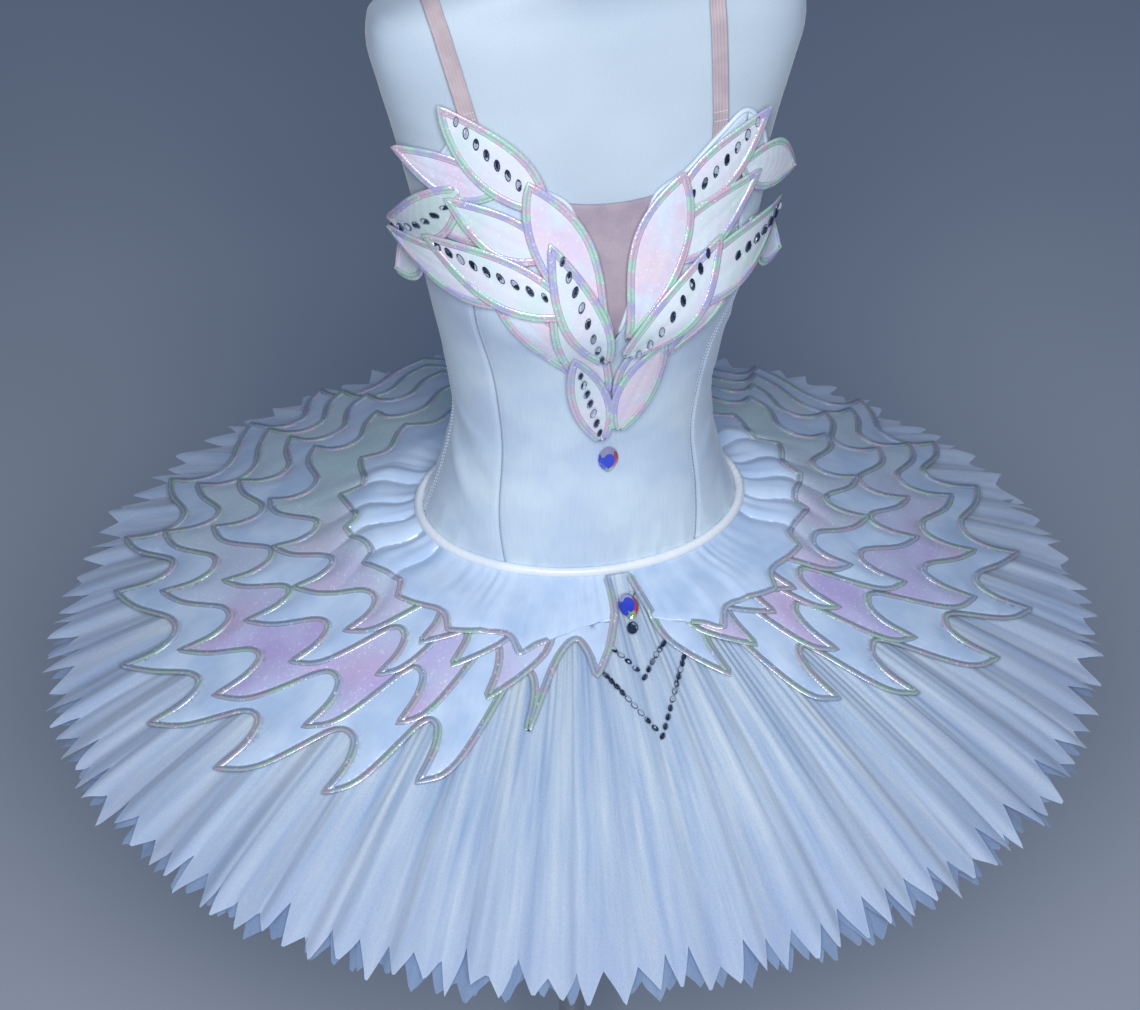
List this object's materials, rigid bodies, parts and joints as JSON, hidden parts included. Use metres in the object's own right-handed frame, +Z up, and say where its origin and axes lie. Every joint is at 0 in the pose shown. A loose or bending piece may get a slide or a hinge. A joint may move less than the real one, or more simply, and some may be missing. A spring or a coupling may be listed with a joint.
{
  "type": "ballet tutu on a dress form",
  "caption": "Classical pancake tutu with a boned satin bodice, feather appliques and pointed net layers, on a limbless dress form with a pole and a round base.",
  "frame": {"origin": "centre of the round base's underside, on the floor", "axes": "+Z up along the pole; the garment's front faces -Y and the wearer's left is +X"},
  "size_m": [0.957, 0.8876, 1.55],
  "materials": {
    "satin": "cool white satin with a soft sheen",
    "shimmer": "pearl shimmer over satin, lilac to green",
    "net": "crisp sheer white tutu net",
    "mesh": "fine skin-toned stretch mesh",
    "elastic": "ribbed dusty pink elastic",
    "piping": "satin-covered cord",
    "form_cover": "smooth white stretch cover",
    "steel": "satin steel",
    "crystal": "cut crystal with a rainbow coating"
  },
  "bodies": {
    "root": {"basque_piping": "piping", "bodice_back_L": "satin", "bodice_back_R": "satin", "bodice_centre_front": "satin", "bodice_side_back_L": "satin", "bodice_side_back_R": "satin", "bodice_side_front_L": "satin", "bodice_side_front_R": "satin", "brief": "satin", "feather_l_inner": "satin", "feather_l_jewelled": "satin", "feather_l_low": "satin", "feather_l_mid": "satin", "feather_l_neck": "satin", "feather_l_pale": "satin", "feather_l_point": "satin", "feather_l_side": "satin", "feather_l_top": "satin", "feather_l_upper": "satin", "feather_l_wing": "satin", "feather_r_inner": "satin", "feather_r_jewelled": "satin", "feather_r_long": "satin", "feather_r_low": "satin", "feather_r_mid": "satin", "feather_r_neck": "satin", "feather_r_pale": "satin", "feather_r_point": "satin", "feather_r_shoulder": "satin", "feather_r_side": "satin", "feather_r_top": "satin", "feather_r_under": "satin", "feather_r_wing": "satin", "form_base": "steel", "form_hub": "steel", "form_pole": "steel", "form_torso": "form_cover", "jewel_skirt": "crystal", "jewel_waist": "crystal", "neck_insert": "mesh", "net_1_top": "net", "net_2": "net", "net_3": "net", "net_4": "net", "net_5": "net", "net_6_lowest": "net", "plate_crown_L": "shimmer", "plate_crown_R": "shimmer", "plate_inner_L": "satin", "plate_inner_R": "satin", "plate_middle_L": "shimmer", "plate_middle_R": "shimmer", "plate_outer_L": "satin", "plate_outer_R": "satin", "plate_yoke_L": "satin", "plate_yoke_R": "satin", "strap_L": "elastic", "strap_R": "elastic"}
  },
  "joints": []
}
